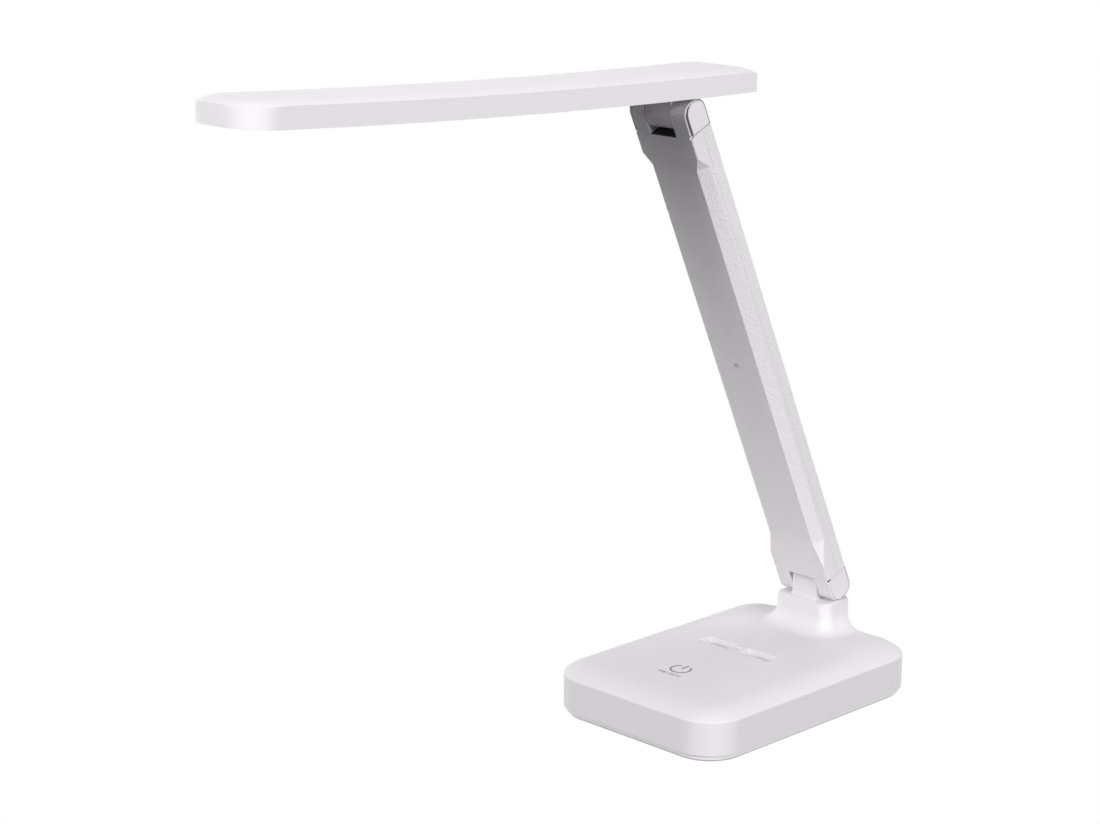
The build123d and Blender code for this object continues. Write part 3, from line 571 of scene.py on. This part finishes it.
# %% Shade the gaps
def shade_faces(name, shade, chosen):
    """A shade on those faces of a piece that the test chooses."""
    mesh = nodes[name].data
    mesh.materials.append(shade)
    place = nodes[name].matrix_world
    count = 0
    for face in mesh.polygons:
        if chosen(place @ face.center, (place.to_3x3() @ face.normal).normalized()):
            face.material_index = len(mesh.materials) - 1
            count += 1
    return count


gap_shade = moulded_plastic("gap_shade", (0.045, 0.044, 0.045), (0.035, 0.034, 0.035),
                            rough=0.8, grain=0.4, depth=0.005)
edge_shade = moulded_plastic("edge_shade", (0.26, 0.25, 0.26), (0.23, 0.22, 0.23),
                             rough=0.8, grain=0.4, depth=0.005)
shaded = {}
for name in ("arm_front_cover", "arm_rear_cover"):
    shaded[name] = shade_faces(name, gap_shade, slot_floor)
for end, shade in (("lower", gap_shade), ("upper", edge_shade)):
    for side in ("left", "right"):
        shaded[f"{end}_cap_{side}"] = shade_faces(f"{end}_cap_{side}", shade, cap_front)
shaded["gate_mark"] = shade_faces("arm_front_cover", edge_shade, gate_wall)
print("faces in shade:", shaded)


# %% [markdown]
# ## The switch mark
#
# The touch switch is a printed power symbol: a ring with a gap and a bar through the gap, over the
# plain words ON/OFF. Print on plastic stands a few hundredths of a millimetre proud, so it is built
# as thin solid shapes on the flat of the base. Text or an image would tie it to a picture or a
# font. Shapes drawn from a few corners stay sharp at any distance. Each shape is a list of flat
# polygons, copied once to the top, and walled in along every edge that only one polygon has.

# %% Ink helpers
ink_height = mm(0.03)
plateau = mm(25.5)                 # height of the base's flat top


def flat_ink(name, polygons):
    """A thin solid on the base's flat, from polygons that run anticlockwise and share corners."""
    corners = {}
    for polygon in polygons:
        for x, y in polygon:
            corners.setdefault((round(x, 7), round(y, 7)), (len(corners), x, y))
    count = len(corners)
    points = [(x, y, plateau) for _, x, y in corners.values()]
    points += [(x, y, plateau + ink_height) for _, x, y in corners.values()]
    outlines = [[corners[round(x, 7), round(y, 7)][0] for x, y in polygon] for polygon in polygons]
    edges = [edge for outline in outlines for edge in zip(outline, outline[1:] + outline[:1])]
    inner = {(b, a) for a, b in edges}
    faces = [outline[::-1] for outline in outlines]
    faces += [[corner + count for corner in outline] for outline in outlines]
    faces += [(a, b, b + count, a + count) for a, b in edges if (a, b) not in inner]
    mesh = bpy.data.meshes.new(name)
    mesh.from_pydata(points, [], faces)
    ink = bpy.data.objects.new(name, mesh)
    bpy.context.scene.collection.objects.link(ink)
    return ink


def band(centre, inner, outer, start, end, steps):
    """Polygons round part of a ring or oval: inner and outer are its half width and half height."""
    rows = []
    for i in range(steps + 1):
        turn = start + (end - start) * i / steps
        rows.append([(centre[0] + half[0] * sin(turn), centre[1] + half[1] * cos(turn))
                     for half in (inner, outer)])
    return [(a[0], b[0], b[1], a[1]) for a, b in zip(rows, rows[1:])]


def rectangle(left, bottom, right, top):
    """The four corners of an upright rectangle."""
    return (left, bottom), (right, bottom), (right, top), (left, top)


print("ink stands", round(ink_height * 1000, 3), "mm proud")

# %% Switch mark
mark_centre = mm(0.2, -38.8)
ring_outer = mm(5.3)
ring_line = mm(0.9)
ring_inner = ring_outer - ring_line
ring_gap = radians(34)
ring_steps = 96
bar_inner = mm(0.6)                # from the ring's centre to the bar's inner end
bar_beyond = mm(0.5)               # the bar reaches this far past the ring

switch_ring = flat_ink("switch_ring", band(
    mark_centre, (ring_inner, ring_inner), (ring_outer, ring_outer),
    ring_gap, 2 * pi - ring_gap, ring_steps))
switch_bar = flat_ink("switch_bar", [rectangle(
    mark_centre[0] - ring_line / 2, mark_centre[1] + bar_inner,
    mark_centre[0] + ring_line / 2, mark_centre[1] + ring_outer + bar_beyond)])
print("switch mark", round(2 * ring_outer * 1000, 1), "mm across")

# %% [markdown]
# The words are six plain block letters, each drawn from its own corners in a box of the same size.
# A step of one letter's pitch sets them in a row.

# %% Switch words
letter_width = mm(1.6)
letter_height = mm(2.3)
letter_line = mm(0.38)
letter_pitch = mm(2.3)
word_middle = mm(0.6, -47.1)       # of the whole word
oval_steps = 28
slant_low, slant_high = 0.3, 0.7   # where the N's slanted line meets its stems, of the height
f_shelf = 0.45                     # where the F's middle line starts, of the height


def letter_o(x, y):
    """An oval ring."""
    middle = (x + letter_width / 2, y + letter_height / 2)
    outer = (letter_width / 2, letter_height / 2)
    inner = (outer[0] - letter_line, outer[1] - letter_line)
    return band(middle, inner, outer, 0, 2 * pi, oval_steps)


def letter_n(x, y):
    """Two stems and a slanted line, as one outline."""
    right, top, line = x + letter_width, y + letter_height, letter_line
    lower, upper = y + slant_low * letter_height, y + slant_high * letter_height
    return [((x, y), (x + line, y), (x + line, upper), (right - line, y), (right, y),
             (right, top), (right - line, top), (right - line, lower), (x + line, top), (x, top))]


def letter_slash(x, y):
    """A slanted line from corner to corner."""
    right, top = x + letter_width, y + letter_height
    return [((x, y), (x + letter_line, y), (right, top), (right - letter_line, top))]


def letter_f(x, y):
    """A stem with two lines to the right, as one outline."""
    right, top, line = x + letter_width, y + letter_height, letter_line
    shelf = y + f_shelf * letter_height
    return [((x, y), (x + line, y), (x + line, shelf), (right - line, shelf),
             (right - line, shelf + line), (x + line, shelf + line), (x + line, top - line),
             (right, top - line), (right, top), (x, top))]


letters = (letter_o, letter_n, letter_slash, letter_o, letter_f, letter_f)
word_left = word_middle[0] - ((len(letters) - 1) * letter_pitch + letter_width) / 2
word_foot = word_middle[1] - letter_height / 2
word_shapes = []
for i, letter in enumerate(letters):
    word_shapes += letter(word_left + i * letter_pitch, word_foot)
switch_words = flat_ink("switch_words", word_shapes)
print("switch words", len(letters), "characters,", round(letter_height * 1000, 1), "mm high")

# %% [markdown]
# The ink is a dark grey pad print. It is a finish like the others, with a finer and shallower
# skin, and it rides on the base, which carries it.

# %% Ink
ink_material = moulded_plastic("ink", (0.06, 0.06, 0.065), (0.045, 0.045, 0.05),
                               rough=0.5, grain=0.2, depth=0.002)
for ink in (switch_ring, switch_bar, switch_words):
    ink.data.materials.append(ink_material)
    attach(ink, "base")
print("ink on", switch_ring.name, switch_bar.name, switch_words.name)

# %% [markdown]
# ## Close
#
